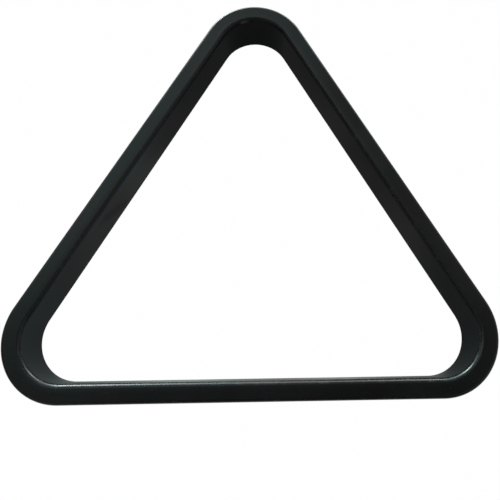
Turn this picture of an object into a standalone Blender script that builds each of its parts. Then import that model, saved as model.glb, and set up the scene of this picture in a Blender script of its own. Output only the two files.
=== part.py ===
"""Ball-racking triangle for fifteen 57 mm balls, moulded in black plastic.

The visible body is one deep injection moulding, rack_shell: a rounded-triangle
ring whose section is an upside-down U with cross ribs and screw bosses inside.
base_ring closes the underside of the channel, and nine countersunk screws hold
it to the bosses. Nothing on the rack moves.

Frame: +Z up, the rack lies on z = 0, +Y points to the apex, +X runs along the
base bar. The origin is the centre of the footprint's bounding box.
All dimensions are in millimetres and become metres through MM.

Sections are drawn as (n, z) points. n is the distance outward from the inside
contour, which is the shell's inside face extended to the top.
"""

import math

import bmesh
import bpy
from mathutils import Matrix, Vector

MM = 0.001

# ---------------------------------------------------------------- dimensions
BALL_D = 57.15  # the ball the rack is made for
BALLS_ON_A_SIDE = 5
BALL_PLAY = 0.93  # between an outer ball and the foot of the wall

# Shell, outer faces
HEIGHT = 37.0
TOP_WIDTH = 12.05  # width of the section at the top, before the edges are rounded
CORNER_R_IN = 27.2  # inside corner radius at the top
WALL_LEAN = 0.40  # moulding draft: how far each outer face spreads from top to foot
EDGE_R_IN = 3.0  # rounded edge between the top and the inside wall
EDGE_R_OUT = 2.0  # rounded edge between the top and the outside wall
EDGE_R_FOOT = 0.5  # foot edges of both walls

# Shell, channel
WALL = 2.4  # wall thickness at the foot
WALL_AT_ROOF = 2.5  # wall thickness under the roof
ROOF = 2.6  # thickness of the top
ROOF_R = 0.8  # inside radius between roof and walls

# Ribs and bosses
RIB_T = 1.6
RIB_FOOT_Z = 3.0  # ribs and bosses end here, and base_ring rests under them
RIBS_ON_LEG = (-105.0, -80.0, -30.0, 0.0, 30.0, 80.0, 105.0)  # from the leg's middle
RIBS_IN_CORNER = (-56.0, -28.0, 28.0, 56.0)  # degrees from the corner's middle
RIB_BITE_WALL = 0.9  # overlap of a rib with each wall
RIB_BITE_ROOF = 1.2  # overlap of a rib with the roof
BOSS_ON_LEG = (-55.0, 55.0)
BOSS_R = 3.2
BOSS_RIB_RAISE = 0.2  # foot of a boss's rib above the boss's own foot
TOP_STAGGER = 0.1  # keeps the hidden tops of ribs and bosses off one plane
PILOT_R = 1.5
PILOT_TOP_Z = 14.0

# Base ring
RING_T = 2.4
RING_GAP = 0.3  # to the walls beside it and to the ribs above it
RING_CHAMFER = 0.35
SINK_R = 2.6
SINK_MOUTH = 0.4  # straight depth of each countersink
SINK_HOLE_R = 1.5

# Screws
SCREW_INSET = 0.25  # head's face above the underside of base_ring
SCREW_HEAD_R = 2.2
SCREW_RIM = 0.2  # straight edge of the head
SCREW_R = 1.2
SCREW_L = 10.0
SCREW_TIP_L = 1.4
SCREW_TIP_R = 0.45
SCREW_TURN = 20.0  # degrees each screw is turned further than the one before
CROSS_ARM = 1.15  # half length of the cross recess
CROSS_HALF_W = 0.32
CROSS_DEPTH = 0.7

OVERSHOOT = 1.0  # how far a cutter runs past the face it opens

# Segment counts
CORNER_STEPS = 20  # in each corner of the triangle
EDGE_IN_STEPS = 7
EDGE_OUT_STEPS = 5
SMALL_ARC_STEPS = 2  # foot edges and roof radii
BOSS_SEGMENTS = 20
PILOT_SEGMENTS = 16
SINK_SEGMENTS = 24
SCREW_SEGMENTS = 20

# ------------------------------------------------------------------- derived
# Inradius of the triangle through the corner balls' centres, plus a ball's
# radius and the play, is the foot's inradius. The lean opens it at the top.
BALL_TRIANGLE_SIDE = (BALLS_ON_A_SIDE - 1) * BALL_D
INRADIUS = BALL_TRIANGLE_SIDE / (2 * math.sqrt(3)) + BALL_D / 2 + BALL_PLAY + WALL_LEAN
# Corner arcs of every offset contour share these centres.
CORNER_DISTANCE = 2 * (INRADIUS - CORNER_R_IN)
LEG_HALF = math.sqrt(3) * (INRADIUS - CORNER_R_IN)
CORNER_SWEEP = 120.0
CORNER_ANGLES = (90.0, 210.0, 330.0)  # directions of the corners from the incentre
LEG_ANGLES = (30.0, 150.0, 270.0)  # the way each leg's outside faces

FOOT_IN = -WALL_LEAN  # offsets n at z = 0
FOOT_OUT = TOP_WIDTH + WALL_LEAN
FOOTPRINT_BASE_Y = -(INRADIUS + FOOT_OUT)  # measured from the incentre
FOOTPRINT_APEX_Y = CORNER_DISTANCE + CORNER_R_IN + FOOT_OUT
INCENTRE_Y = -(FOOTPRINT_BASE_Y + FOOTPRINT_APEX_Y) / 2

ROOF_Z = HEIGHT - ROOF
RIB_TOP_Z = ROOF_Z + RIB_BITE_ROOF
RING_TOP_Z = RIB_FOOT_Z - RING_GAP
RING_FOOT_Z = RING_TOP_Z - RING_T


# ------------------------------------------------------------ section offsets
def in_wall(z):
    """Offset of the inside face at height z."""
    return -WALL_LEAN * (1 - z / HEIGHT)


def out_wall(z):
    """Offset of the outside face at height z."""
    return TOP_WIDTH - in_wall(z)


def channel_in(z):
    """Offset of the channel's face on the inside wall."""
    return FOOT_IN + WALL + (WALL_AT_ROOF + WALL_LEAN - WALL) * z / ROOF_Z


def channel_out(z):
    """Offset of the channel's face on the outside wall."""
    return TOP_WIDTH - channel_in(z)


CHANNEL_MID = (channel_in(0) + channel_out(0)) / 2


# ---------------------------------------------------------- places in plan
def direction(degrees):
    """Unit vector in plan."""
    angle = math.radians(degrees)
    return Vector((math.cos(angle), math.sin(angle)))


def on_leg(leg, along, n):
    """Point at a distance along a leg from its middle, and the way it faces."""
    facing = LEG_ANGLES[leg]
    outward = direction(facing)
    tangent = Vector((-outward.y, outward.x))
    return outward * (INRADIUS + n) + tangent * along, facing


def in_corner(corner, degrees, n):
    """Point at an angle from a corner's middle, and the way it faces."""
    facing = CORNER_ANGLES[corner] + degrees
    centre = direction(CORNER_ANGLES[corner]) * CORNER_DISTANCE
    return centre + direction(facing) * (CORNER_R_IN + n), facing


# Lists of (point, facing in degrees) along the middle of the channel.
RIB_PLACES = []
SCREW_PLACES = []
for side in range(3):
    RIB_PLACES += [on_leg(side, along, CHANNEL_MID) for along in RIBS_ON_LEG]
    RIB_PLACES += [in_corner(side, degrees, CHANNEL_MID) for degrees in RIBS_IN_CORNER]
    SCREW_PLACES.append(in_corner(side, 0, CHANNEL_MID))
    SCREW_PLACES += [on_leg(side, along, CHANNEL_MID) for along in BOSS_ON_LEG]


# ------------------------------------------------------------------ scene kit
def material(name, colour, roughness, metallic=0.0):
    made = bpy.data.materials.new(name)
    made.use_nodes = True
    made.diffuse_color = (*colour, 1.0)
    shader = made.node_tree.nodes["Principled BSDF"]
    shader.inputs["Base Color"].default_value = (*colour, 1.0)
    shader.inputs["Roughness"].default_value = roughness
    shader.inputs["Metallic"].default_value = metallic
    return made


def make_mesh(name, bm, mat=None):
    """Turns a bmesh in millimetres into a mesh in metres."""
    bmesh.ops.recalc_face_normals(bm, faces=bm.faces)
    bmesh.ops.scale(bm, vec=(MM, MM, MM), verts=bm.verts)
    mesh = bpy.data.meshes.new(name)
    bm.to_mesh(mesh)
    bm.free()
    if mat:
        mesh.materials.append(mat)
        mesh.shade_smooth()
        mesh.set_sharp_from_angle(angle=math.radians(30))
    return mesh


def add_object(name, mesh, parent):
    made = bpy.data.objects.new(name, mesh)
    bpy.context.scene.collection.objects.link(made)
    made.parent = parent
    return made


def boolean(target, operation, name, bm, parent):
    """Adds a hidden helper from a bmesh and a Boolean on target that takes it."""
    helper = add_object(name, make_mesh(name, bm), parent)
    helper.hide_render = True
    helper.display_type = "WIRE"
    step = target.modifiers.new(f"{operation.lower()}_{name}", "BOOLEAN")
    step.operation = operation
    step.object = helper
    step.solver = "EXACT"


# --------------------------------------------------------------------- shapes
def arc(centre_n, centre_z, radius, start, end, steps):
    """Section points on an arc, in degrees, both ends included."""
    angles = [math.radians(start + (end - start) * i / steps) for i in range(steps + 1)]
    return [
        (centre_n + radius * math.cos(angle), centre_z + radius * math.sin(angle))
        for angle in angles
    ]


def loop_edges(geometry):
    return [part for part in geometry if isinstance(part, bmesh.types.BMEdge)]


def loop_verts(geometry):
    return [part for part in geometry if isinstance(part, bmesh.types.BMVert)]


def swept_ring(profile):
    """Sweeps a closed (n, z) profile round the rounded triangle: a spin at each
    corner and an extrusion along each leg."""
    bm = bmesh.new()
    start, facing = in_corner(0, -CORNER_SWEEP / 2, 0)
    outward = direction(facing)
    section = [bm.verts.new((*(start + outward * n), z)) for n, z in profile]
    edges = [bm.edges.new(pair) for pair in zip(section, section[1:] + section[:1])]
    for corner_angle in CORNER_ANGLES:
        spun = bmesh.ops.spin(
            bm,
            geom=edges,
            cent=direction(corner_angle).to_3d() * CORNER_DISTANCE,
            axis=(0, 0, 1),
            angle=math.radians(CORNER_SWEEP),
            steps=CORNER_STEPS,
        )
        drawn = bmesh.ops.extrude_edge_only(bm, edges=loop_edges(spun["geom_last"]))["geom"]
        # A leg runs square to the way the corner's end faces.
        leg_direction = direction(corner_angle + CORNER_SWEEP / 2 + 90).to_3d()
        moved = loop_verts(drawn)
        bmesh.ops.translate(bm, vec=leg_direction * 2 * LEG_HALF, verts=moved)
        leg_end = set(moved)
        edges = [edge for edge in loop_edges(drawn) if set(edge.verts) <= leg_end]
    # The last loop lands on the first.
    bmesh.ops.remove_doubles(bm, verts=bm.verts, dist=1e-3)
    return bm


def turned(profile, steps):
    """Spins an open (r, z) profile, whose ends lie on the axis, about +Z."""
    bm = bmesh.new()
    verts = [bm.verts.new((r, 0, z)) for r, z in profile]
    edges = [bm.edges.new(pair) for pair in zip(verts, verts[1:])]
    bmesh.ops.spin(
        bm, geom=verts + edges, cent=(0, 0, 0), axis=(0, 0, 1), angle=2 * math.pi, steps=steps
    )
    bmesh.ops.remove_doubles(bm, verts=bm.verts, dist=1e-4)
    return bm


def add_ribs(bm, places, foot_z, top_z):
    """Adds an upright plate across the channel at each place."""
    reach = channel_out(0) - channel_in(0) + 2 * RIB_BITE_WALL
    size = Matrix.Diagonal((reach, RIB_T, top_z - foot_z, 1))
    for point, facing in places:
        centre = Matrix.Translation((*point, (foot_z + top_z) / 2))
        turn = Matrix.Rotation(math.radians(facing), 4, "Z")
        bmesh.ops.create_cube(bm, size=1.0, matrix=centre @ turn @ size)


def screw_posts(radius, foot_z, top_z, segments):
    """An upright cylinder at each screw place."""
    bm = bmesh.new()
    for point, _ in SCREW_PLACES:
        bmesh.ops.create_cone(
            bm,
            cap_ends=True,
            segments=segments,
            radius1=radius,
            radius2=radius,
            depth=top_z - foot_z,
            matrix=Matrix.Translation((*point, (foot_z + top_z) / 2)),
        )
    return bm


# ------------------------------------------------------------------ rack_shell
def shell_profile():
    in_edge_z = HEIGHT - EDGE_R_IN
    out_edge_z = HEIGHT - EDGE_R_OUT
    roof_arc_z = ROOF_Z - ROOF_R
    foot = (EDGE_R_FOOT, EDGE_R_FOOT)  # centre height and radius of the foot edges
    return [
        # foot of the inside wall, then up its face, over the top and down outside
        *arc(FOOT_IN + EDGE_R_FOOT, *foot, 270, 180, SMALL_ARC_STEPS),
        *arc(in_wall(in_edge_z) + EDGE_R_IN, in_edge_z, EDGE_R_IN, 180, 90, EDGE_IN_STEPS),
        *arc(out_wall(out_edge_z) - EDGE_R_OUT, out_edge_z, EDGE_R_OUT, 90, 0, EDGE_OUT_STEPS),
        *arc(FOOT_OUT - EDGE_R_FOOT, *foot, 0, -90, SMALL_ARC_STEPS),
        # the channel: up the outside wall's inner face, under the roof and down again
        (channel_out(0), 0.0),
        *arc(channel_out(roof_arc_z) - ROOF_R, roof_arc_z, ROOF_R, 0, 90, SMALL_ARC_STEPS),
        *arc(channel_in(roof_arc_z) + ROOF_R, roof_arc_z, ROOF_R, 90, 180, SMALL_ARC_STEPS),
        (channel_in(0), 0.0),
    ]


def build_shell(rack, plastic):
    mesh = make_mesh("rack_shell", swept_ring(shell_profile()), plastic)
    shell = add_object("rack_shell", mesh, rack)

    ribs = bmesh.new()
    add_ribs(ribs, RIB_PLACES, RIB_FOOT_Z, RIB_TOP_Z)
    add_ribs(ribs, SCREW_PLACES, RIB_FOOT_Z + BOSS_RIB_RAISE, RIB_TOP_Z - TOP_STAGGER)
    boolean(shell, "UNION", "cross_ribs", ribs, rack)

    bosses = screw_posts(BOSS_R, RIB_FOOT_Z, RIB_TOP_Z + TOP_STAGGER, BOSS_SEGMENTS)
    boolean(shell, "UNION", "screw_bosses", bosses, rack)

    pilots = screw_posts(PILOT_R, RIB_FOOT_Z - OVERSHOOT, PILOT_TOP_Z, PILOT_SEGMENTS)
    boolean(shell, "DIFFERENCE", "pilot_holes", pilots, rack)


# ------------------------------------------------------------------- base_ring
def sink_cutters():
    """Countersunk holes: a straight mouth, a 90 degree cone and a clearance hole."""
    mouth_z = RING_FOOT_Z + SINK_MOUTH
    profile = [
        (0, RING_FOOT_Z - OVERSHOOT),
        (SINK_R, RING_FOOT_Z - OVERSHOOT),
        (SINK_R, mouth_z),
        (SINK_HOLE_R, mouth_z + SINK_R - SINK_HOLE_R),
        (SINK_HOLE_R, RING_TOP_Z + OVERSHOOT),
        (0, RING_TOP_Z + OVERSHOOT),
    ]
    cutters = bmesh.new()
    for point, _ in SCREW_PLACES:
        sink = turned(profile, SINK_SEGMENTS)
        bmesh.ops.translate(sink, vec=(*point, 0), verts=sink.verts)
        # A bmesh takes in another one only by way of a mesh.
        carrier = bpy.data.meshes.new("one_sink")
        sink.to_mesh(carrier)
        sink.free()
        cutters.from_mesh(carrier)
        bpy.data.meshes.remove(carrier)
    return cutters


def build_base_ring(rack, plastic):
    ring_in = channel_in(RING_TOP_Z) + RING_GAP
    ring_out = channel_out(RING_TOP_Z) - RING_GAP
    profile = [
        (ring_in + RING_CHAMFER, RING_FOOT_Z),
        (ring_in, RING_FOOT_Z + RING_CHAMFER),
        (ring_in, RING_TOP_Z),
        (ring_out, RING_TOP_Z),
        (ring_out, RING_FOOT_Z + RING_CHAMFER),
        (ring_out - RING_CHAMFER, RING_FOOT_Z),
    ]
    ring = add_object("base_ring", make_mesh("base_ring", swept_ring(profile), plastic), rack)
    boolean(ring, "DIFFERENCE", "screw_sinks", sink_cutters(), rack)


# ---------------------------------------------------------------------- screws
def screw_blank():
    """A screw without its recess, head down on z = 0."""
    profile = [
        (0, 0),
        (SCREW_HEAD_R, 0),
        (SCREW_HEAD_R, SCREW_RIM),
        (SCREW_R, SCREW_RIM + SCREW_HEAD_R - SCREW_R),
        (SCREW_R, SCREW_L - SCREW_TIP_L),
        (SCREW_TIP_R, SCREW_L),
        (0, SCREW_L),
    ]
    return turned(profile, SCREW_SEGMENTS)


def cross_cutter():
    half, arm = CROSS_HALF_W, CROSS_ARM
    outline = [
        (arm, -half), (arm, half), (half, half), (half, arm),
        (-half, arm), (-half, half), (-arm, half), (-arm, -half),
        (-half, -half), (-half, -arm), (half, -arm), (half, -half),
    ]
    cross = bmesh.new()
    foot = cross.faces.new([cross.verts.new((x, y, -OVERSHOOT)) for x, y in outline])
    raised = bmesh.ops.extrude_face_region(cross, geom=[foot])["geom"]
    bmesh.ops.translate(cross, vec=(0, 0, OVERSHOOT + CROSS_DEPTH), verts=loop_verts(raised))
    return cross


def build_screws(rack, steel):
    blank = make_mesh("screw_blank", screw_blank(), steel)
    screws = []
    for i, (point, facing) in enumerate(SCREW_PLACES):
        screw = add_object(f"screw_{i + 1:02d}", blank, rack)
        screw.location = (point.x * MM, point.y * MM, (RING_FOOT_Z + SCREW_INSET) * MM)
        screw.rotation_euler = (0, 0, math.radians(facing + SCREW_TURN * i))
        screws.append(screw)

    # The recess is cut once, in a mesh that all nine screws then share.
    first = screws[0]
    boolean(first, "DIFFERENCE", "cross_recess", cross_cutter(), first)
    bpy.context.view_layer.update()
    evaluated = first.evaluated_get(bpy.context.evaluated_depsgraph_get())
    cut = bpy.data.meshes.new_from_object(evaluated)
    cut.name = "countersunk_screw"
    first.modifiers.clear()
    for screw in screws:
        screw.data = cut


# ----------------------------------------------------------------------- build
for old in list(bpy.data.objects):
    bpy.data.objects.remove(old, do_unlink=True)

SHELL_BLACK = material("black_gloss_plastic", colour=(0.010, 0.011, 0.011), roughness=0.28)
RING_BLACK = material("black_satin_plastic", colour=(0.014, 0.014, 0.014), roughness=0.5)
SCREW_STEEL = material(
    "black_zinc_steel", colour=(0.10, 0.10, 0.105), roughness=0.38, metallic=1.0
)

# Every piece hangs from an empty at the triangle's incentre.
rack_centre = add_object("rack_centre", None, None)
rack_centre.location = (0, INCENTRE_Y * MM, 0)

build_shell(rack_centre, SHELL_BLACK)
build_base_ring(rack_centre, RING_BLACK)
build_screws(rack_centre, SCREW_STEEL)
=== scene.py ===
"""Looks for the black plastic ball rack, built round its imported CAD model.

Every solid of the CAD is replaced by a finer mesh of the same dimensions, so
that the rounded edges carry clean highlights. All the materials are procedural.
"""

import math

import bmesh
import bpy
import numpy as np
from mathutils import Matrix, Vector


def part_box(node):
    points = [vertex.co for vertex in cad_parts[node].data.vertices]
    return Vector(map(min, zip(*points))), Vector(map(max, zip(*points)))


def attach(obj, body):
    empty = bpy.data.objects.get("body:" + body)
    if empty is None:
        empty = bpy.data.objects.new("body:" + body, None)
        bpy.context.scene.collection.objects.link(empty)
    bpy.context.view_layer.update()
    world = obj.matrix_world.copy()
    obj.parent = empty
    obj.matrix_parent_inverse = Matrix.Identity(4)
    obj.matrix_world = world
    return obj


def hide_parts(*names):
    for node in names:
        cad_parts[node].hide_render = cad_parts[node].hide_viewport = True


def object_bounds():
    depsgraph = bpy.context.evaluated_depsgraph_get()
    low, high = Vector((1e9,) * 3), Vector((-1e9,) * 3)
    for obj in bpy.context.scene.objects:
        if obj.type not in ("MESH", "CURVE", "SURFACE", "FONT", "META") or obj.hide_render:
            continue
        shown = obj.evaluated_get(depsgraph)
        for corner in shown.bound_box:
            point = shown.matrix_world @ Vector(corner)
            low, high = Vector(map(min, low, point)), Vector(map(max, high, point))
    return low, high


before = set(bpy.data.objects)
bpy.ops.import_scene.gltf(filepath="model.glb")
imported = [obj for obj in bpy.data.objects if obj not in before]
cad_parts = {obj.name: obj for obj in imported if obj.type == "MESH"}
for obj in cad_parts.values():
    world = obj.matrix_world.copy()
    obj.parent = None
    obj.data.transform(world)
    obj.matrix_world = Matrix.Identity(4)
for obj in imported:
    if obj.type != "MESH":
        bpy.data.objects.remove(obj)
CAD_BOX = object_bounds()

MM = 0.001
SCENE = bpy.context.scene

# ---------------------------------------------------------------- dimensions
# Sizes in millimetres, as in the CAD. Places come from the CAD's own boxes.
LO, HI = CAD_BOX
HEIGHT = (HI.z - LO.z) / MM
TOP_WIDTH = 12.05
CORNER_R_IN = 27.2
WALL_LEAN = 0.40
EDGE_R_IN = 3.0
EDGE_R_OUT = 2.0
EDGE_R_FOOT = 0.5
WALL = 2.4
WALL_AT_ROOF = 2.5
ROOF = 2.6
ROOF_R = 0.8
FOOT_OUT = TOP_WIDTH + WALL_LEAN
FOOT_IN = -WALL_LEAN
# The footprint is a rounded triangle: its width gives the leg's straight half.
CORNER_R_FOOT = CORNER_R_IN + FOOT_OUT
LEG_HALF = (HI.x - LO.x) / MM / 2 - CORNER_R_FOOT
CORNER_DISTANCE = 2 * LEG_HALF / math.sqrt(3)
INRADIUS = CORNER_DISTANCE / 2 + CORNER_R_IN
INCENTRE_Y = LO.y / MM + INRADIUS + FOOT_OUT
ROOF_Z = HEIGHT - ROOF

RIB_T = 1.6
RIB_FOOT_Z = 3.0
RIBS_ON_LEG = (-105.0, -80.0, -30.0, 0.0, 30.0, 80.0, 105.0)
RIBS_IN_CORNER = (-56.0, -28.0, 28.0, 56.0)
BOSS_ON_LEG = (-55.0, 55.0)
BOSS_R = 3.2
PILOT_R = 1.5
PILOT_TOP_Z = 14.0

RING_LO, RING_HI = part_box("base_ring")
RING_FOOT_Z = RING_LO.z / MM
RING_TOP_Z = RING_HI.z / MM
RING_GAP = 0.3
RING_EDGE_R = 0.35
SINK_R = 2.6
SINK_MOUTH = 0.4
SINK_HOLE_R = 1.5

SCREW_L = 10.0
SCREW_HEAD_R = 2.2
SCREW_RIM = 0.2
SCREW_R = 1.2

CORNER_ANGLES = (90.0, 210.0, 330.0)
LEG_ANGLES = (30.0, 150.0, 270.0)


def in_wall(z):
    # almost upright: at its top it stands 0.3 mm further in than the CAD's
    return -WALL_LEAN * (1 - z / HEIGHT) - 0.3 * z / HEIGHT


def out_wall(z):
    return TOP_WIDTH + WALL_LEAN * (1 - z / HEIGHT)


def channel_in(z):
    return FOOT_IN + WALL + (WALL_AT_ROOF + WALL_LEAN - WALL) * z / ROOF_Z


def channel_out(z):
    return FOOT_OUT - WALL - (WALL_AT_ROOF + WALL_LEAN - WALL) * z / ROOF_Z


MID_N = (channel_in(0) + channel_out(0)) / 2


def unit(degrees):
    a = math.radians(degrees)
    return Vector((math.cos(a), math.sin(a)))


def on_leg(leg, s, n):
    out = unit(LEG_ANGLES[leg])
    p = out * (INRADIUS + n) + Vector((-out.y, out.x)) * s
    return Vector((p.x, p.y + INCENTRE_Y))


def in_corner(corner, degrees, n):
    p = unit(CORNER_ANGLES[corner]) * CORNER_DISTANCE
    p = p + unit(CORNER_ANGLES[corner] + degrees) * (CORNER_R_IN + n)
    return Vector((p.x, p.y + INCENTRE_Y))


# Nine screws: one in the middle of each corner and two on each leg.
SCREW_PLACES = []
for k in range(3):
    SCREW_PLACES.append((in_corner(k, 0, MID_N), CORNER_ANGLES[k]))
    for s in BOSS_ON_LEG:
        SCREW_PLACES.append((on_leg(k, s, MID_N), LEG_ANGLES[k]))


# -------------------------------------------------------------- mesh builders
def arc(cx, cy, r, a0, a1, steps):
    return [
        (
            cx + r * math.cos(math.radians(a0 + (a1 - a0) * i / steps)),
            cy + r * math.sin(math.radians(a0 + (a1 - a0) * i / steps)),
        )
        for i in range(steps + 1)
    ]


def with_holding_points(profile, longest=2.0, hold=0.12):
    """Puts a point close to each end of every long straight run of a closed
    profile, so that smooth shading bends only at the rounded edges."""
    made = []
    for i, (n0, z0) in enumerate(profile):
        n1, z1 = profile[(i + 1) % len(profile)]
        made.append((n0, z0))
        length = math.hypot(n1 - n0, z1 - z0)
        if length > longest:
            t = hold / length
            cuts = max(1, round(length / 6.0))
            for f in [t] + [j / cuts for j in range(1, cuts)] + [1 - t]:
                made.append((n0 + (n1 - n0) * f, z0 + (z1 - z0) * f))
    return made


def ring_stations(corner_steps, leg_steps):
    """Points round the inside contour at n = 0, each with its outward unit
    vector and its distance along the ring's middle line, in millimetres."""
    made = []
    for corner in range(3):
        for i in range(corner_steps + 1):
            d = -60 + 120 * i / corner_steps
            made.append((in_corner(corner, d, 0), unit(CORNER_ANGLES[corner] + d)))
        a = in_corner(corner, 60, 0)
        b = in_corner((corner + 1) % 3, -60, 0)
        out = unit(CORNER_ANGLES[corner] + 60)
        length = (b - a).length
        fractions = [0.4 / length] + [j / leg_steps for j in range(1, leg_steps)]
        for f in fractions + [1 - 0.4 / length]:
            made.append((a.lerp(b, f), out))
    along = [0.0]
    for (p0, u0), (p1, u1) in zip(made, made[1:] + made[:1]):
        along.append(along[-1] + ((p1 + u1 * MID_N) - (p0 + u0 * MID_N)).length)
    return made, along


def swept_ring(name, profile, corner_steps=72, leg_steps=20):
    """A closed tube of quads round the rounded triangle. Its UV map holds real
    metres: U along the ring and V along the profile from its first point."""
    stations, along = ring_stations(corner_steps, leg_steps)
    across = [0.0]
    for (n0, z0), (n1, z1) in zip(profile, profile[1:] + profile[:1]):
        across.append(across[-1] + math.hypot(n1 - n0, z1 - z0))
    rows, cols = len(stations), len(profile)
    verts = [
        ((p.x + u.x * n) * MM, (p.y + u.y * n) * MM, z * MM)
        for p, u in stations
        for n, z in profile
    ]
    faces, uvs = [], []
    for i in range(rows):
        for j in range(cols):
            i1, j1 = (i + 1) % rows, (j + 1) % cols
            faces.append((i * cols + j, i1 * cols + j, i1 * cols + j1, i * cols + j1))
            uvs += [
                (along[i] * MM, across[j] * MM),
                (along[i + 1] * MM, across[j] * MM),
                (along[i + 1] * MM, across[j + 1] * MM),
                (along[i] * MM, across[j + 1] * MM),
            ]
    mesh = bpy.data.meshes.new(name)
    mesh.from_pydata(verts, [], faces)
    layer = mesh.uv_layers.new(name="UVMap")
    layer.data.foreach_set("uv", [c for uv in uvs for c in uv])
    made = bpy.data.objects.new(name, mesh)
    SCENE.collection.objects.link(made)
    point_outward(mesh)
    return made


def signed_volume(mesh):
    """Volume inside a closed mesh: negative if it is inside out."""
    mesh.calc_loop_triangles()
    co = np.empty(len(mesh.vertices) * 3)
    mesh.vertices.foreach_get("co", co)
    tri = np.empty(len(mesh.loop_triangles) * 3, dtype=np.int32)
    mesh.loop_triangles.foreach_get("vertices", tri)
    p = co.reshape(-1, 3)[tri.reshape(-1, 3)]
    return float(np.einsum("ij,ij->", p[:, 0], np.cross(p[:, 1], p[:, 2])) / 6)


def point_outward(mesh):
    if signed_volume(mesh) < 0:
        mesh.flip_normals()


def from_bmesh(name, bm, scale=MM):
    bmesh.ops.recalc_face_normals(bm, faces=bm.faces)
    bmesh.ops.scale(bm, vec=(scale, scale, scale), verts=bm.verts)
    mesh = bpy.data.meshes.new(name)
    bm.to_mesh(mesh)
    bm.free()
    made = bpy.data.objects.new(name, mesh)
    SCENE.collection.objects.link(made)
    return made


def block(bm, centre, degrees, size, z0, z1):
    where = Matrix.Translation((*centre, (z0 + z1) / 2)) @ Matrix.Rotation(
        math.radians(degrees), 4, "Z"
    )
    bmesh.ops.create_cube(bm, size=1.0, matrix=where @ Matrix.Diagonal((*size, z1 - z0, 1)))


def post(bm, centre, r0, r1, z0, z1, segments=40):
    bmesh.ops.create_cone(
        bm,
        cap_ends=True,
        segments=segments,
        radius1=r0,
        radius2=r1,
        depth=z1 - z0,
        matrix=Matrix.Translation((*centre, (z0 + z1) / 2)),
    )


def turned(profile, steps):
    """Spins an open (r, z) profile, whose ends lie on the axis, about +Z."""
    bm = bmesh.new()
    verts = [bm.verts.new((r, 0, z)) for r, z in profile]
    edges = [bm.edges.new(pair) for pair in zip(verts, verts[1:])]
    bmesh.ops.spin(
        bm, geom=verts + edges, cent=(0, 0, 0), axis=(0, 0, 1), angle=2 * math.pi, steps=steps
    )
    bmesh.ops.remove_doubles(bm, verts=bm.verts, dist=1e-4)
    return bm


def gather(pieces):
    """Joins bmeshes, each moved to its place, into one bmesh of loose shells."""
    whole = bmesh.new()
    for bm, matrix in pieces:
        bm.transform(matrix)
        lump = bpy.data.meshes.new("lump")
        bm.to_mesh(lump)
        bm.free()
        whole.from_mesh(lump)
        bpy.data.meshes.remove(lump)
    return whole


def apply_booleans(target, steps):
    """Runs EXACT Booleans, keeps the result as the mesh and drops the cutters."""
    for operation, cutter in steps:
        mod = target.modifiers.new(cutter.name, "BOOLEAN")
        mod.operation = operation
        mod.object = cutter
        mod.solver = "EXACT"
    bpy.context.view_layer.update()
    made = bpy.data.meshes.new_from_object(
        target.evaluated_get(bpy.context.evaluated_depsgraph_get())
    )
    target.modifiers.clear()
    old, made.name = target.data, target.name
    target.data = made
    bpy.data.meshes.remove(old)
    for _, cutter in steps:
        mesh = cutter.data
        bpy.data.objects.remove(cutter)
        bpy.data.meshes.remove(mesh)


def finish_piece(piece, node, material, sharp=32.0):
    mesh = piece.data
    mesh.materials.clear()
    mesh.materials.append(material)
    mesh.polygons.foreach_set("material_index", [0] * len(mesh.polygons))
    mesh.shade_smooth()
    mesh.set_sharp_from_angle(angle=math.radians(sharp))
    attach(piece, "root")
    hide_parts(node)


# ------------------------------------------------------------- shader helpers
class Nodes:
    """Short names for building a node tree."""

    def __init__(self, tree):
        self.tree = tree
        tree.nodes.clear()

    def add(self, kind, inputs=None, **settings):
        node = self.tree.nodes.new(kind)
        for key, value in settings.items():
            setattr(node, key, value)
        for key, value in (inputs or {}).items():
            self.set(node.inputs[key], value)
        return node

    def set(self, socket, value):
        if isinstance(value, bpy.types.NodeSocket):
            self.tree.links.new(value, socket)
        else:
            socket.default_value = value

    def math(self, operation, a, b=0.0, c=0.0, clamp=False):
        node = self.add("ShaderNodeMath", {0: a, 1: b, 2: c}, operation=operation)
        node.use_clamp = clamp
        return node.outputs[0]

    def step(self, value, lo, hi, to_lo=0.0, to_hi=1.0, kind="SMOOTHSTEP"):
        node = self.add("ShaderNodeMapRange", interpolation_type=kind)
        for key, v in zip(
            ("Value", "From Min", "From Max", "To Min", "To Max"), (value, lo, hi, to_lo, to_hi)
        ):
            self.set(node.inputs[key], v)
        return node.outputs["Result"]

    def mix(self, factor, a, b):
        node = self.add("ShaderNodeMix", data_type="RGBA")
        self.set(node.inputs["Factor"], factor)
        self.set(node.inputs[6], a)
        self.set(node.inputs[7], b)
        return node.outputs[2]

    def grey(self, value):
        return self.add("ShaderNodeCombineXYZ", {"X": value, "Y": value, "Z": value}).outputs[0]

    def noise(self, vector, scale, detail=2.0, roughness=0.5, distortion=0.0):
        node = self.add(
            "ShaderNodeTexNoise",
            {
                "Vector": vector,
                "Scale": scale,
                "Detail": detail,
                "Roughness": roughness,
                "Distortion": distortion,
            },
        )
        return node.outputs["Fac"]

    def stretch(self, vector, scale, turn=0.0):
        node = self.add("ShaderNodeMapping", {"Vector": vector})
        node.inputs["Scale"].default_value = scale
        node.inputs["Rotation"].default_value = (0, 0, math.radians(turn))
        return node.outputs["Vector"]

    def bump(self, height, distance, normal=None, strength=1.0):
        node = self.add("ShaderNodeBump", {"Height": height, "Distance": distance})
        node.inputs["Strength"].default_value = strength
        if normal is not None:
            self.set(node.inputs["Normal"], normal)
        return node.outputs["Normal"]

    def pulse(self, value, centre, half, soft):
        """1 within half of centre, falling smoothly to 0 over soft."""
        away = self.math("ABSOLUTE", self.math("SUBTRACT", value, centre))
        return self.step(away, half, half + soft, 1.0, 0.0)


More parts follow.
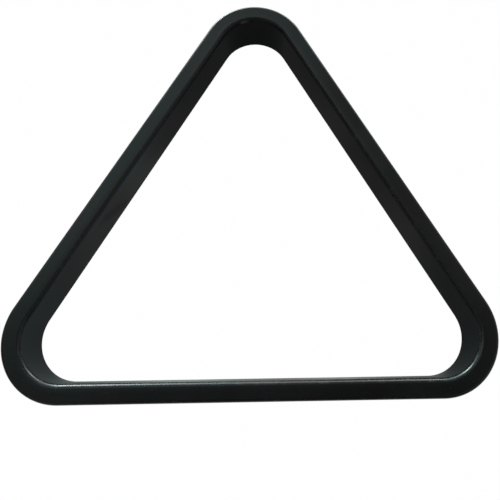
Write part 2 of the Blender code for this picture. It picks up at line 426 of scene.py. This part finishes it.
def new_material(name, colour, roughness, metallic=0.0):
    made = bpy.data.materials.new(name)
    made.use_nodes = True
    made.diffuse_color = (*colour, 1.0)
    made.roughness = roughness
    made.metallic = metallic
    return made


def plastic_material(name, colour, tint, roughness, gloss_wear, profile_marks, dulled=None, painted_marks=()):
    """Black injection-moulded plastic: a fine orange peel, slow waves from
    uneven cooling, hairline scratches along the legs, rubbed edges, finger
    smudges and a little dust. profile_marks are V positions, in metres, of the
    rounded edges: (centre, half width). dulled is such an edge that hands and
    balls have dulled, over a range of Y. The last argument holds patches of
    painted light, painted reflections and glints laid into the colour and the
    gloss, each (centre, axes, half sizes, colour, gloss)."""
    made = new_material(name, colour, roughness)
    n = Nodes(made.node_tree)
    place = n.add("ShaderNodeTexCoord")
    flat = place.outputs["UV"]
    solid = place.outputs["Object"]
    v = n.add("ShaderNodeSeparateXYZ", {"Vector": flat}).outputs["Y"]

    # scratches: long thin streaks along the ring, in two slightly crossed sets
    scratch = None
    for turn, across, bias in ((1.2, 9500.0, 0.705), (-3.5, 7000.0, 0.715), (24.0, 5200.0, 0.745)):
        lines = n.noise(n.stretch(flat, (34.0, across, 1.0), turn), 1.0, 1.0, 0.4)
        where = n.noise(solid, 46.0 + turn, 2.0, 0.6)
        line = n.step(lines, bias, bias + 0.045)
        line = n.math("MULTIPLY", line, n.step(where, 0.46, 0.66))
        scratch = line if scratch is None else n.math("MAXIMUM", scratch, line)

    # rubbed edges: broken up so that no edge is worn evenly
    edge = None
    for centre, half in profile_marks:
        one = n.pulse(v, centre, half * 0.35, half * 0.9)
        edge = one if edge is None else n.math("MAXIMUM", edge, one)
    chips = n.noise(solid, 240.0, 4.0, 0.62)
    worn = n.math("MULTIPLY", edge, n.step(chips, 0.50, 0.68))

    smudge = n.step(n.noise(solid, 21.0, 3.0, 0.55, 0.6), 0.42, 0.68)
    cloudy = n.noise(solid, 75.0, 3.0, 0.6)
    speck = n.step(n.noise(solid, 1900.0, 0.0), 0.82, 0.85)
    speck = n.math("MULTIPLY", speck, n.step(n.noise(solid, 33.0, 1.0), 0.50, 0.62))

    dark = n.mix(cloudy, (*[c * 0.80 for c in colour], 1), (*[c * 1.25 for c in colour], 1))
    base = n.mix(n.math("MULTIPLY", smudge, 0.30), dark, (*tint, 1))
    base = n.mix(n.math("MULTIPLY", scratch, 0.16), base, (0.075, 0.080, 0.080, 1))
    base = n.mix(n.math("MULTIPLY", worn, 0.22), base, (0.050, 0.052, 0.052, 1))
    base = n.mix(n.math("MULTIPLY", speck, 0.45), base, (0.16, 0.16, 0.15, 1))

    rough = n.math("MULTIPLY_ADD", smudge, 0.050, roughness - 0.02)
    rough = n.math("MULTIPLY_ADD", cloudy, 0.040, rough)
    rough = n.math("MULTIPLY_ADD", scratch, 0.16, rough)
    rough = n.math("MULTIPLY_ADD", worn, gloss_wear, rough)
    rough = n.math("MULTIPLY_ADD", speck, 0.30, rough, clamp=True)
    if dulled is not None:
        centre, half, y0, y1, amount = dulled
        at = n.add("ShaderNodeSeparateXYZ", {"Vector": solid})
        band = n.pulse(v, centre, half * 0.3, half)
        band = n.math("MULTIPLY", band, n.step(at.outputs["Y"], y0, y1))
        # the left leg has had more of it
        band = n.math("MULTIPLY", band, n.step(at.outputs["X"], 0.030, 0.0, 0.35, 1.0))
        rough = n.math("MULTIPLY_ADD", band, amount, rough)

    # a thin film of handling leaves faint cool and warm patches in the gloss
    film = n.noise(solid, 34.0, 3.0, 0.6, 0.4)
    gloss = n.mix(n.step(film, 0.30, 0.48), (1.05, 0.93, 0.96, 1), (1.0, 1.0, 1.0, 1))
    gloss = n.mix(n.step(film, 0.52, 0.68), gloss, (0.86, 1.03, 1.02, 1))
    # patches of painted light: painted reflections and glints in the colour and the gloss
    for centre, axes, size, painted_colour, painted_gloss in painted_marks:
        offset = n.add(
            "ShaderNodeVectorMath", {0: solid, 1: centre}, operation="SUBTRACT"
        ).outputs[0]
        reach = [
            n.math(
                "DIVIDE",
                n.add(
                    "ShaderNodeVectorMath", {0: offset, 1: axis}, operation="DOT_PRODUCT"
                ).outputs["Value"],
                half,
            )
            for axis, half in zip(axes, size)
        ]
        shaped = n.add("ShaderNodeCombineXYZ", {"X": reach[0], "Y": reach[1], "Z": reach[2]})
        away = n.add(
            "ShaderNodeVectorMath", {0: shaped.outputs[0]}, operation="LENGTH"
        ).outputs["Value"]
        ragged = n.math("MULTIPLY_ADD", n.noise(solid, 190.0, 4.0, 0.65), 1.1, -0.55)
        mark = n.step(n.math("ADD", away, ragged), 0.35, 1.1, 1.0, 0.0)
        base = n.mix(n.math("MULTIPLY", mark, 0.9), base, (*painted_colour, 1))
        rough = n.math("MULTIPLY_ADD", mark, 0.08, rough)
        gloss = n.mix(mark, gloss, (*painted_gloss, 1))

    normal = n.bump(n.noise(solid, 27.0, 1.0, 0.4), 0.00010)
    normal = n.bump(n.noise(solid, 1350.0, 2.0, 0.55), 0.0000042, normal)
    normal = n.bump(n.math("SUBTRACT", 1.0, scratch), 0.000006, normal)
    normal = n.bump(n.math("MULTIPLY", worn, chips), 0.000018, normal)

    shader = n.add(
        "ShaderNodeBsdfPrincipled",
        {
            "Base Color": base,
            "Roughness": rough,
            "Normal": normal,
            "IOR": 1.50,
            "Specular Tint": gloss,
        },
    )
    out = n.add("ShaderNodeOutputMaterial")
    n.set(out.inputs["Surface"], shader.outputs[0])
    return made


def steel_material():
    """Black zinc plate over steel, with bright metal where a driver has worked."""
    made = new_material("black_zinc_steel", (0.10, 0.10, 0.105), 0.36, 1.0)
    n = Nodes(made.node_tree)
    solid = n.add("ShaderNodeTexCoord").outputs["Object"]
    point = n.add("ShaderNodeNewGeometry").outputs["Pointiness"]
    bright = n.math(
        "MULTIPLY", n.step(point, 0.53, 0.60), n.step(n.noise(solid, 2600.0, 3.0, 0.6), 0.38, 0.62)
    )
    mottle = n.noise(solid, 1500.0, 4.0, 0.6)
    base = n.mix(mottle, (0.050, 0.052, 0.058, 1), (0.115, 0.112, 0.108, 1))
    base = n.mix(bright, base, (0.46, 0.45, 0.43, 1))
    rough = n.math("MULTIPLY_ADD", mottle, 0.22, 0.26)
    normal = n.bump(n.noise(solid, 5200.0, 2.0), 0.000006)
    shader = n.add(
        "ShaderNodeBsdfPrincipled",
        {"Base Color": base, "Roughness": rough, "Normal": normal, "Metallic": 1.0},
    )
    out = n.add("ShaderNodeOutputMaterial")
    n.set(out.inputs["Surface"], shader.outputs[0])
    return made


# ----------------------------------------------------------------- the shell
# The top face rolls gently into its inner edge before the rounding proper.
ROLL_R = 60.0
ROLL = 3.0
roll_sin, roll_cos = math.sin(math.radians(ROLL)), math.cos(math.radians(ROLL))
wall_top = HEIGHT - ROLL_R * (1 - roll_cos) - EDGE_R_IN * roll_cos
round_n = in_wall(wall_top) + EDGE_R_IN
roll_n = round_n + (ROLL_R - EDGE_R_IN) * roll_sin
shell_profile = []
shell_profile += arc(FOOT_IN + EDGE_R_FOOT, EDGE_R_FOOT, EDGE_R_FOOT, 270, 180, 6)
shell_profile += arc(round_n, wall_top, EDGE_R_IN, 180, 90 + ROLL, 20)
shell_profile += arc(roll_n, HEIGHT - ROLL_R, ROLL_R, 90 + ROLL, 90, 6)[1:]
shell_profile += arc(
    out_wall(HEIGHT - EDGE_R_OUT) - EDGE_R_OUT, HEIGHT - EDGE_R_OUT, EDGE_R_OUT, 90, 0, 14
)
shell_profile += arc(FOOT_OUT - EDGE_R_FOOT, EDGE_R_FOOT, EDGE_R_FOOT, 0, -90, 6)
shell_profile += [(channel_out(0), 0.0)]
shell_profile += arc(
    channel_out(ROOF_Z - ROOF_R) - ROOF_R, ROOF_Z - ROOF_R, ROOF_R, 0, 90, 6
)
shell_profile += arc(
    channel_in(ROOF_Z - ROOF_R) + ROOF_R, ROOF_Z - ROOF_R, ROOF_R, 90, 180, 6
)
shell_profile += [(channel_in(0), 0.0)]
shell = swept_ring("shell_moulding", with_holding_points(shell_profile))

rib_reach = channel_out(0) - channel_in(0) + 1.8
rib_roof = ROOF_Z + 1.2
ribs = bmesh.new()
for k in range(3):
    for s in RIBS_ON_LEG:
        block(ribs, on_leg(k, s, MID_N), LEG_ANGLES[k], (rib_reach, RIB_T), RIB_FOOT_Z, rib_roof)
    for d in RIBS_IN_CORNER:
        block(
            ribs,
            in_corner(k, d, MID_N),
            CORNER_ANGLES[k] + d,
            (rib_reach, RIB_T),
            RIB_FOOT_Z,
            rib_roof,
        )
for place, degrees in SCREW_PLACES:
    block(ribs, place, degrees, (rib_reach, RIB_T), RIB_FOOT_Z + 0.2, rib_roof - 0.1)
bosses = bmesh.new()
pilots = bmesh.new()
for place, degrees in SCREW_PLACES:
    post(bosses, place, BOSS_R, BOSS_R, RIB_FOOT_Z, rib_roof + 0.1)
    post(pilots, place, PILOT_R, PILOT_R, RIB_FOOT_Z - 1.0, PILOT_TOP_Z)
    post(pilots, place, PILOT_R + 0.55, PILOT_R - 0.05, RIB_FOOT_Z - 0.05, RIB_FOOT_Z + 0.5)
apply_booleans(
    shell,
    [
        ("UNION", from_bmesh("cross_ribs", ribs)),
        ("UNION", from_bmesh("screw_bosses", bosses)),
        ("DIFFERENCE", from_bmesh("pilot_holes", pilots)),
    ],
)

# V positions of the rounded edges, measured along the profile from its start.
foot_arc = EDGE_R_FOOT * math.pi / 2
v_wall_in = foot_arc + (wall_top - EDGE_R_FOOT)
v_fillet_in = v_wall_in + EDGE_R_IN * math.pi / 4
v_top = v_wall_in + EDGE_R_IN * math.radians(90 - ROLL) + ROLL_R * math.radians(ROLL)
v_top_end = v_top + (TOP_WIDTH - EDGE_R_OUT - roll_n)
v_fillet_out = v_top_end + EDGE_R_OUT * math.pi / 4
v_wall_out = v_top_end + EDGE_R_OUT * math.pi / 2
v_foot_out = v_wall_out + (HEIGHT - EDGE_R_OUT - EDGE_R_FOOT) + foot_arc / 2
SHELL_EDGES = [
    (foot_arc / 2 * MM, 1.1 * MM),
    (v_fillet_in * MM, 2.2 * MM),
    (v_fillet_out * MM, 1.6 * MM),
    (v_foot_out * MM, 1.1 * MM),
]
# A painted reflection on the left leg's inner wall: a reddish streak in the colour and the gloss, rising
# towards the base bar.
reflection_at = on_leg(1, 33.5, in_wall(16.3))
reflection_out = unit(LEG_ANGLES[1])
slope = math.radians(42.6)
PAINTED_REFLECTION = (
    (reflection_at.x * MM, reflection_at.y * MM, 16.3 * MM),
    (
        (-reflection_out.y * math.cos(slope), reflection_out.x * math.cos(slope), math.sin(slope)),
        (reflection_out.y * math.sin(slope), -reflection_out.x * math.sin(slope), math.cos(slope)),
        (reflection_out.x, reflection_out.y, 0.0),
    ),
    (0.023, 0.0075, 0.006),
    (0.0105, 0.0026, 0.0032),
    (0.58, 0.44, 0.47),
)
# A small painted glint: a pale patch under the inner edge of the far corner.
glint_at = in_corner(0, 18.5, 0.2)
glint_out = unit(CORNER_ANGLES[0] + 18.5)
PAINTED_GLINT = (
    (glint_at.x * MM, glint_at.y * MM, 34.9 * MM),
    (
        (-glint_out.y, glint_out.x, 0.0),
        (0.0, 0.0, 1.0),
        (glint_out.x, glint_out.y, 0.0),
    ),
    (0.0046, 0.0015, 0.003),
    (0.14, 0.125, 0.12),
    (1.0, 0.95, 0.93),
)
SHELL_PLASTIC = plastic_material(
    "moulded_black_plastic",
    (0.0038, 0.0039, 0.0039),
    (0.0047, 0.0055, 0.0054),
    0.258,
    0.10,
    SHELL_EDGES,
    dulled=(v_fillet_in * MM, 4.2 * MM, -0.112, -0.084, 0.24),
    painted_marks=(PAINTED_REFLECTION, PAINTED_GLINT),
)
finish_piece(shell, "rack_shell", SHELL_PLASTIC)

# ------------------------------------------------------------- the base ring
ring_in = channel_in(RING_TOP_Z) + RING_GAP
ring_out = channel_out(RING_TOP_Z) - RING_GAP
ring_profile = arc(
    ring_in + RING_EDGE_R, RING_FOOT_Z + RING_EDGE_R, RING_EDGE_R, 270, 180, 5
)
ring_profile += [(ring_in, RING_TOP_Z), (ring_out, RING_TOP_Z)]
ring_profile += arc(
    ring_out - RING_EDGE_R, RING_FOOT_Z + RING_EDGE_R, RING_EDGE_R, 0, -90, 5
)
ring = swept_ring("base_closing_ring", with_holding_points(ring_profile, 1.5))
mouth = RING_FOOT_Z + SINK_MOUTH
sinks = gather(
    [
        (
            turned(
                [
                    (0, RING_FOOT_Z - 1.0),
                    (SINK_R, RING_FOOT_Z - 1.0),
                    (SINK_R, mouth),
                    (SINK_HOLE_R, mouth + SINK_R - SINK_HOLE_R),
                    (SINK_HOLE_R, RING_TOP_Z + 1.0),
                    (0, RING_TOP_Z + 1.0),
                ],
                48,
            ),
            Matrix.Translation((place.x, place.y, 0)),
        )
        for place, _ in SCREW_PLACES
    ]
)
# Shallow round marks that the mould's ejector pins leave.
pins = bmesh.new()
for k in range(3):
    for s in (-92.0, -18.0, 18.0, 92.0):
        post(pins, on_leg(k, s, MID_N), 2.0, 2.0, RING_FOOT_Z - 0.5, RING_FOOT_Z + 0.12)
    for d in (-42.0, 42.0):
        post(pins, in_corner(k, d, MID_N), 2.0, 2.0, RING_FOOT_Z - 0.5, RING_FOOT_Z + 0.12)
apply_booleans(
    ring,
    [
        ("DIFFERENCE", from_bmesh("screw_sinks", sinks)),
        ("DIFFERENCE", from_bmesh("pin_marks", pins)),
    ],
)
RING_PLASTIC = plastic_material(
    "moulded_black_satin",
    (0.0075, 0.0076, 0.0076),
    (0.0090, 0.0090, 0.0088),
    0.42,
    0.08,
    [(0.27 * MM, 0.9 * MM)],
)
finish_piece(ring, "base_ring", RING_PLASTIC)

# ---------------------------------------------------------------- the screws
THREAD_PITCH = 1.15
THREAD_ROOT_R = 0.92
THREAD_CREST_R = 1.36
SCREW_TIP = 1.5


def screw_piece():
    """A countersunk self-tapping screw, head down and tip up: one closed skin
    of rings round +Z, whose radius follows the thread's helix on the shank."""
    head_end = SCREW_RIM + SCREW_HEAD_R - SCREW_R
    sides = 40
    rows = [(0.0, SCREW_HEAD_R * 0.5), (0.0, SCREW_HEAD_R - 0.06)]
    rows += [
        (0.06 - 0.06 * math.cos(math.radians(a)), SCREW_HEAD_R - 0.06 + 0.06 * math.sin(math.radians(a)))
        for a in (30, 60, 90)
    ]
    rows += [(SCREW_RIM, SCREW_HEAD_R)]
    cone = 6
    for i in range(1, cone + 1):
        t = i / cone
        rows.append((SCREW_RIM + (head_end - SCREW_RIM) * t, SCREW_HEAD_R + (SCREW_R - 0.1 - SCREW_HEAD_R) * t))
    z = head_end
    step = THREAD_PITCH / 14
    while z + step < SCREW_L - 0.02:
        z += step
        rows.append((z, None))
    bm = bmesh.new()
    rings = []
    for z, r in rows:
        ring_verts = []
        for i in range(sides):
            a = 2 * math.pi * i / sides
            radius = r
            if r is None:
                phase = (z / THREAD_PITCH - i / sides) % 1.0
                crest = max(0.0, 1 - abs(phase - 0.5) / 0.24)
                start = min(1.0, max(0.0, (z - head_end - 0.5) / 0.7))
                tip = min(1.0, (SCREW_L - z) / SCREW_TIP)
                root = (THREAD_ROOT_R + (SCREW_R - 0.1 - THREAD_ROOT_R) * (1 - start)) * (
                    0.10 + 0.90 * tip
                )
                radius = root + (THREAD_CREST_R - THREAD_ROOT_R) * crest * start * tip**0.6
            ring_verts.append(bm.verts.new((radius * math.cos(a), radius * math.sin(a), z)))
        rings.append(ring_verts)
    for low, high in zip(rings, rings[1:]):
        for i in range(sides):
            bm.faces.new((low[i], low[(i + 1) % sides], high[(i + 1) % sides], high[i]))
    for ring_verts, z in ((rings[0], 0.0), (rings[-1], SCREW_L)):
        hub = bm.verts.new((0, 0, z))
        for i in range(sides):
            bm.faces.new((ring_verts[i], ring_verts[(i + 1) % sides], hub))
    return bm


def cross_cutter():
    """A tapering cross with a point, for the driver's recess."""
    bm = bmesh.new()

    def outline(arm, half, z):
        a, w = arm, half
        points = [
            (a, -w), (a, w), (w, w), (w, a), (-w, a), (-w, w),
            (-a, w), (-a, -w), (-w, -w), (-w, -a), (w, -a), (w, -w),
        ]
        return [bm.verts.new((x, y, z)) for x, y in points]

    levels = [outline(1.30, 0.36, -0.5), outline(1.12, 0.30, 0.0), outline(0.62, 0.24, 0.85)]
    for low, high in zip(levels, levels[1:]):
        for i in range(12):
            bm.faces.new((low[i], low[(i + 1) % 12], high[(i + 1) % 12], high[i]))
    bm.faces.new(levels[0])
    tip = bm.verts.new((0, 0, 1.05))
    for i in range(12):
        bm.faces.new((levels[2][i], levels[2][(i + 1) % 12], tip))
    return bm


STEEL = steel_material()
first = from_bmesh("screw_body", screw_piece())
apply_booleans(first, [("DIFFERENCE", from_bmesh("cross_recess", cross_cutter()))])
screw_skin = first.data
bpy.data.objects.remove(first)
for i, (place, degrees) in enumerate(SCREW_PLACES):
    node = f"screw_{i + 1:02d}"
    lo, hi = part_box(node)
    # Each screw keeps its own mesh in world coordinates, as the CAD's do.
    skin = screw_skin.copy()
    skin.transform(
        Matrix.Translation(((lo.x + hi.x) / 2, (lo.y + hi.y) / 2, lo.z))
        @ Matrix.Rotation(math.radians(degrees + 20.0 * i), 4, "Z")
    )
    piece = bpy.data.objects.new(f"countersunk_screw_{i + 1:02d}", skin)
    SCENE.collection.objects.link(piece)
    finish_piece(piece, node, STEEL, sharp=38.0)
bpy.data.meshes.remove(screw_skin)

# ----------------------------------------------------------------- the stage
# A plain pale floor. Far off it meets a background of the same brightness.
def flat_floor(radius=6.0, sides=96):
    bm = bmesh.new()
    hub = bm.verts.new((0, 0, 0))
    rings = [
        [
            bm.verts.new((r * math.cos(2 * math.pi * i / sides), r * math.sin(2 * math.pi * i / sides), 0))
            for i in range(sides)
        ]
        for r in (0.6, radius)
    ]
    for i in range(sides):
        bm.faces.new((hub, rings[0][i], rings[0][(i + 1) % sides]))
        bm.faces.new((rings[0][i], rings[1][i], rings[1][(i + 1) % sides], rings[0][(i + 1) % sides]))
    return from_bmesh("pale_floor", bm, 1.0)


# Brightness of the pale floor: as the camera sees it, and as the plastic
# mirrors it in the middle of the opening, next to the base bar, and outside.
# The mirrored values are painted reflection: for every ray but the camera's
# the floor glows with them.
FLOOR = {"seen": 1.0, "near_base": 0.175, "outside": 0.85}
# The painted reflection by the direction from the middle, in degrees from +X:
# for the floor along the foot of the inner walls, mostly darker as painted
# shade, and for the floor further in.
ALONG_WALL = [
    (0, (0.095, 0.094, 0.093)),
    (30, (0.068, 0.068, 0.067)),
    (60, (0.077, 0.075, 0.074)),
    (90, (0.048, 0.051, 0.05)),
    (120, (0.072, 0.071, 0.072)),
    (150, (0.144, 0.158, 0.152)),
    (180, (0.118, 0.121, 0.121)),
    (210, (0.087, 0.104, 0.105)),
    (240, (0.38, 0.50, 0.445)),
    (270, (0.243, 0.257, 0.214)),
    (300, (0.385, 0.41, 0.40)),
    (330, (0.038, 0.050, 0.048)),
]
FURTHER_IN = [
    (30, (0.0, 0.0, 0.0)),
    (90, (0.109, 0.069, 0.085)),
    (150, (0.42, 0.666, 0.82)),
    (210, (0.315, 0.328, 0.341)),
    (270, (0.953, 0.847, 1.29)),
    (330, (0.072, 0.032, 0.0)),
]
# Seen at a low angle near the rack, the floor takes part of its brightness from
# the light, and darkens where the rack shades it. Seen from above it is even.
FLOOR_GLOW = 0.55
FLOOR_LIT = 0.42


def floor_material():
    made = new_material("pale_floor", (0.9, 0.9, 0.9), 0.8)
    n = Nodes(made.node_tree)
    path = n.add("ShaderNodeLightPath")
    geometry = n.add("ShaderNodeNewGeometry")
    where = geometry.outputs["Position"]
    y = n.add("ShaderNodeSeparateXYZ", {"Vector": where}).outputs["Y"]
    paper = n.noise(where, 700.0, 3.0, 0.6)
    tone = n.mix(paper, (0.988, 0.988, 0.988, 1), (1.0, 1.0, 1.0, 1))

    # how far outside the three inner walls a point lies, in metres
    outside = None
    middle = (0.0, INCENTRE_Y * MM, 0.0)
    offset = n.add("ShaderNodeVectorMath", {0: where, 1: middle}, operation="SUBTRACT").outputs[0]
    for degrees in LEG_ANGLES:
        out = unit(degrees)
        dot = n.add(
            "ShaderNodeVectorMath", {0: offset, 1: (out.x, out.y, 0.0)}, operation="DOT_PRODUCT"
        ).outputs["Value"]
        outside = dot if outside is None else n.math("MAXIMUM", outside, dot)
    # Outside the rack the mirrored floor is painted darker close to it and brighter further off: painted shade
    # in the reflections.
    beyond = n.step(outside, (INRADIUS + 4.0) * MM, (INRADIUS + 9.0) * MM)
    open_floor = n.step(outside, (INRADIUS + 10.0) * MM, (INRADIUS + 75.0) * MM, 0.38, 1.0)

    # a painted bright band on the mirrored floor just inside the base bar: a painted reflection in the bar's
    # inner wall
    base_wall = (LO.y / MM + (FOOT_OUT - FOOT_IN)) * MM
    near = n.step(y, base_wall + 0.0075, base_wall + 0.0005)
    near = n.math("MULTIPLY", near, n.step(y, base_wall - 0.004, base_wall - 0.002))
    heading = n.add("ShaderNodeVectorMath", {0: offset}, operation="NORMALIZE").outputs[0]

    def round_about(values, sharp):
        total = (0.0, 0.0, 0.0)
        for degrees, colour in values:
            way = unit(degrees)
            dot = n.add(
                "ShaderNodeVectorMath", {0: heading, 1: (way.x, way.y, 0.0)}, operation="DOT_PRODUCT"
            ).outputs["Value"]
            one = n.math("EXPONENT", n.math("MULTIPLY_ADD", dot, sharp, -sharp))
            total = n.add(
                "ShaderNodeVectorMath",
                {0: colour, 1: n.grey(one), 2: total},
                operation="MULTIPLY_ADD",
            ).outputs[0]
        return total

    # the painted reflection by direction, along the walls' foot with its painted shade and further in
    close = n.step(outside, (INRADIUS - 45.0) * MM, (INRADIUS - 15.0) * MM)
    mirrored = n.mix(close, round_about(FURTHER_IN, 5.0), round_about(ALONG_WALL, 20.0))
    near = n.grey(n.math("MULTIPLY", near, FLOOR["near_base"]))
    mirrored = n.add("ShaderNodeVectorMath", {0: mirrored, 1: near}, operation="ADD").outputs[0]
    mirrored = n.mix(beyond, mirrored, n.grey(n.math("MULTIPLY", open_floor, FLOOR["outside"])))

    low = n.add("ShaderNodeSeparateXYZ", {"Vector": geometry.outputs["Incoming"]}).outputs["Z"]
    range_ = n.add("ShaderNodeVectorMath", {0: offset}, operation="LENGTH").outputs["Value"]
    above = n.math("MAXIMUM", n.step(low, 0.60, 0.72), n.step(range_, 0.30, 1.1))
    seen = n.math("MULTIPLY_ADD", above, FLOOR["seen"] - FLOOR_GLOW, FLOOR_GLOW)
    seen = n.add("ShaderNodeVectorMath", {0: tone, 1: n.grey(seen)}, operation="MULTIPLY").outputs[0]
    # the camera sees the even pale floor; every other ray meets the glowing painted reflection
    pick = n.mix(path.outputs["Is Camera Ray"], mirrored, seen)
    glow = n.add("ShaderNodeEmission", {"Color": pick, "Strength": 1.0})
    shaded = n.math("MULTIPLY", path.outputs["Is Camera Ray"], n.math("SUBTRACT", 1.0, above))
    lit = floor_light(LOBES, AMBIENT)
    albedo = [min(0.95, FLOOR_LIT * math.pi / e) for e in lit]
    colour = n.add(
        "ShaderNodeVectorMath", {0: n.grey(shaded), 1: albedo}, operation="MULTIPLY"
    ).outputs[0]
    matte = n.add("ShaderNodeBsdfDiffuse", {"Color": colour, "Roughness": 0.0})
    both = n.add("ShaderNodeAddShader", {0: glow.outputs[0], 1: matte.outputs[0]})
    out = n.add("ShaderNodeOutputMaterial")
    n.set(out.inputs["Surface"], both.outputs[0])
    return made


# ----------------------------------------------------------------- the light
# Soft studio light as smooth lobes round the object: (azimuth from +X in
# degrees, elevation, half width in degrees, colour).
LOBES = [
    (0, 90, 9, (0.062, 0.056, 0.056)),
    (45, 72, 9, (0.068, 0.036, 0.038)),
    (90, 72, 9, (0.21, 0.199, 0.184)),
    (135, 72, 9, (0.242, 0.343, 0.403)),
    (180, 72, 9, (0.058, 0.036, 0.044)),
    (30, 54, 9, (0.985, 0.976, 0.97)),
    (90, 54, 9, (0.50, 0.615, 0.61)),
    (120, 54, 9, (0.57, 0.79, 0.73)),
    (150, 54, 9, (1.137, 1.517, 1.351)),
    (210, 54, 9, (0.483, 0.536, 0.446)),
    (300, 54, 9, (0.211, 0.198, 0.204)),
    (330, 54, 9, (0.335, 0.359, 0.351)),
    (0, 36, 10, (0.363, 0.529, 0.556)),
    (240, 36, 10, (0.629, 0.615, 0.651)),
    (270, 36, 10, (0.114, 0.139, 0.144)),
    (330, 36, 10, (0.526, 0.649, 0.687)),
    (0, 18, 10, (0.396, 0.38, 0.376)),
    (30, 18, 10, (0.38, 0.37, 0.335)),
    (60, 18, 10, (3.0, 3.0, 3.1)),
    (90, 18, 10, (4.645, 4.846, 5.021)),
    (120, 18, 10, (1.307, 1.368, 1.557)),
    (150, 18, 10, (0.815, 0.71, 0.757)),
    (180, 18, 10, (0.125, 0.055, 0.055)),
    (210, 18, 10, (0.172, 0.152, 0.172)),
    (45, 11, 6, (0.28, 0.40, 0.36)),
    (67.5, 11, 6, (9.154, 10.021, 9.193)),
    (112.5, 11, 6, (27.153, 31.904, 32.478)),
    (135, 11, 6, (0.917, 1.895, 1.461)),
    (45, 4, 6, (1.885, 2.598, 2.405)),
    (67.5, 4, 6, (11.666, 12.821, 11.2)),
    (90, 4, 6, (2.2, 2.4, 2.0)),
    (103, 4, 6, (7.5, 8.3, 8.2)),
    (112.5, 4, 6, (26.6, 31.6, 30.8)),
    (135, 4, 6, (1.42, 2.327, 1.905)),
    (180, 4, 6, (0.967, 1.356, 1.23)),
    (270, 4, 6, (0.338, 0.402, 0.258)),
    (337.5, 4, 6, (1.07, 0.997, 0.997)),
]
AMBIENT = (0.012, 0.012, 0.012)


def build_world(lobes, ambient):
    world = bpy.data.worlds.new("soft_studio")
    world.use_nodes = True
    n = Nodes(world.node_tree)
    ray = n.add("ShaderNodeTexCoord").outputs["Generated"]
    total = None
    for azimuth, elevation, half, colour in lobes:
        e = math.radians(elevation)
        a = math.radians(azimuth)
        axis = (math.cos(e) * math.cos(a), math.cos(e) * math.sin(a), math.sin(e))
        sharp = math.log(2) / (1 - math.cos(math.radians(half)))
        dot = n.add("ShaderNodeVectorMath", {0: ray, 1: axis}, operation="DOT_PRODUCT")
        fall = n.math("EXPONENT", n.math("MULTIPLY_ADD", dot.outputs["Value"], sharp, -sharp))
        one = n.add("ShaderNodeVectorMath", {0: colour}, operation="SCALE")
        n.set(one.inputs["Scale"], fall)
        if total is None:
            total = one.outputs[0]
        else:
            total = n.add("ShaderNodeVectorMath", {0: total, 1: one.outputs[0]}, operation="ADD").outputs[0]
    if total is None:
        total = (*ambient, 1.0)
    else:
        total = n.add("ShaderNodeVectorMath", {0: total, 1: ambient}, operation="ADD").outputs[0]
    lit = n.add("ShaderNodeBackground", {"Color": total})
    pale = n.add("ShaderNodeBackground", {"Color": (0.97, 0.97, 0.97, 1)})
    path = n.add("ShaderNodeLightPath")
    pick = n.add(
        "ShaderNodeMixShader",
        {0: path.outputs["Is Camera Ray"], 1: lit.outputs[0], 2: pale.outputs[0]},
    )
    out = n.add("ShaderNodeOutputWorld")
    n.set(out.inputs["Surface"], pick.outputs[0])
    SCENE.world = world


def floor_light(lobes, ambient):
    """Light that falls on the open floor from the whole sky, per channel."""
    elevation = (np.arange(180) + 0.5) / 180 * math.pi / 2
    azimuth = (np.arange(360) + 0.5) / 360 * 2 * math.pi
    e, a = np.meshgrid(elevation, azimuth, indexing="ij")
    weight = np.cos(e) * np.sin(e) * (math.pi / 2 / 180) * (2 * math.pi / 360)
    total = np.array(ambient) * weight.sum()
    for az, el, half, colour in lobes:
        ca, ce = math.radians(az), math.radians(el)
        dot = np.cos(e) * math.cos(ce) * np.cos(a - ca) + np.sin(e) * math.sin(ce)
        sharp = math.log(2) / (1 - math.cos(math.radians(half)))
        total = total + np.array(colour) * (np.exp(sharp * (dot - 1)) * weight).sum()
    return total


build_world(LOBES, AMBIENT)
floor = flat_floor()
floor.data.materials.append(floor_material())
SCENE.view_settings.view_transform = "Standard"
SCENE.view_settings.look = "None"

# ---------------------------------------------------------------- the camera
# It stands above the opening, near the base bar, and the picture is an
# off-centre crop: a lens shift that holds only at this place.
CAMERA_AT = Vector((7.350, -116.636, 410.893)) * MM
CAMERA_TURN = (19.20443, -1.88125, -0.81861)
CAMERA_LENS = 40.4588
CAMERA_SHIFT = (-0.069489, -0.175702)

camera = bpy.data.objects.new("camera", bpy.data.cameras.new("camera"))
SCENE.collection.objects.link(camera)
camera.location = CAMERA_AT
camera.rotation_euler = [math.radians(a) for a in CAMERA_TURN]
camera.data.sensor_width = 36.0
camera.data.lens = CAMERA_LENS
camera.data.clip_start = 0.01
camera.data.clip_end = 100.0
SCENE.camera = camera


def shift_here(prop, value):
    """Drives a lens shift that is value at the camera's home, 0 elsewhere."""
    driver = camera.data.driver_add(prop).driver
    driver.type = "SCRIPTED"
    for name, channel in (("x", "LOC_X"), ("y", "LOC_Y"), ("z", "LOC_Z")):
        var = driver.variables.new()
        var.name = name
        var.type = "TRANSFORMS"
        var.targets[0].id = camera
        var.targets[0].transform_type = channel
        var.targets[0].transform_space = "WORLD_SPACE"
    home = " + ".join(f"abs({c} - ({v:.6f}))" for c, v in zip("xyz", CAMERA_AT))
    driver.expression = f"{value:.6f} if {home} < 0.001 else 0.0"


shift_here("shift_x", CAMERA_SHIFT[0])
shift_here("shift_y", CAMERA_SHIFT[1])

# ------------------------------------------------------------------- the end
bpy.context.view_layer.update()
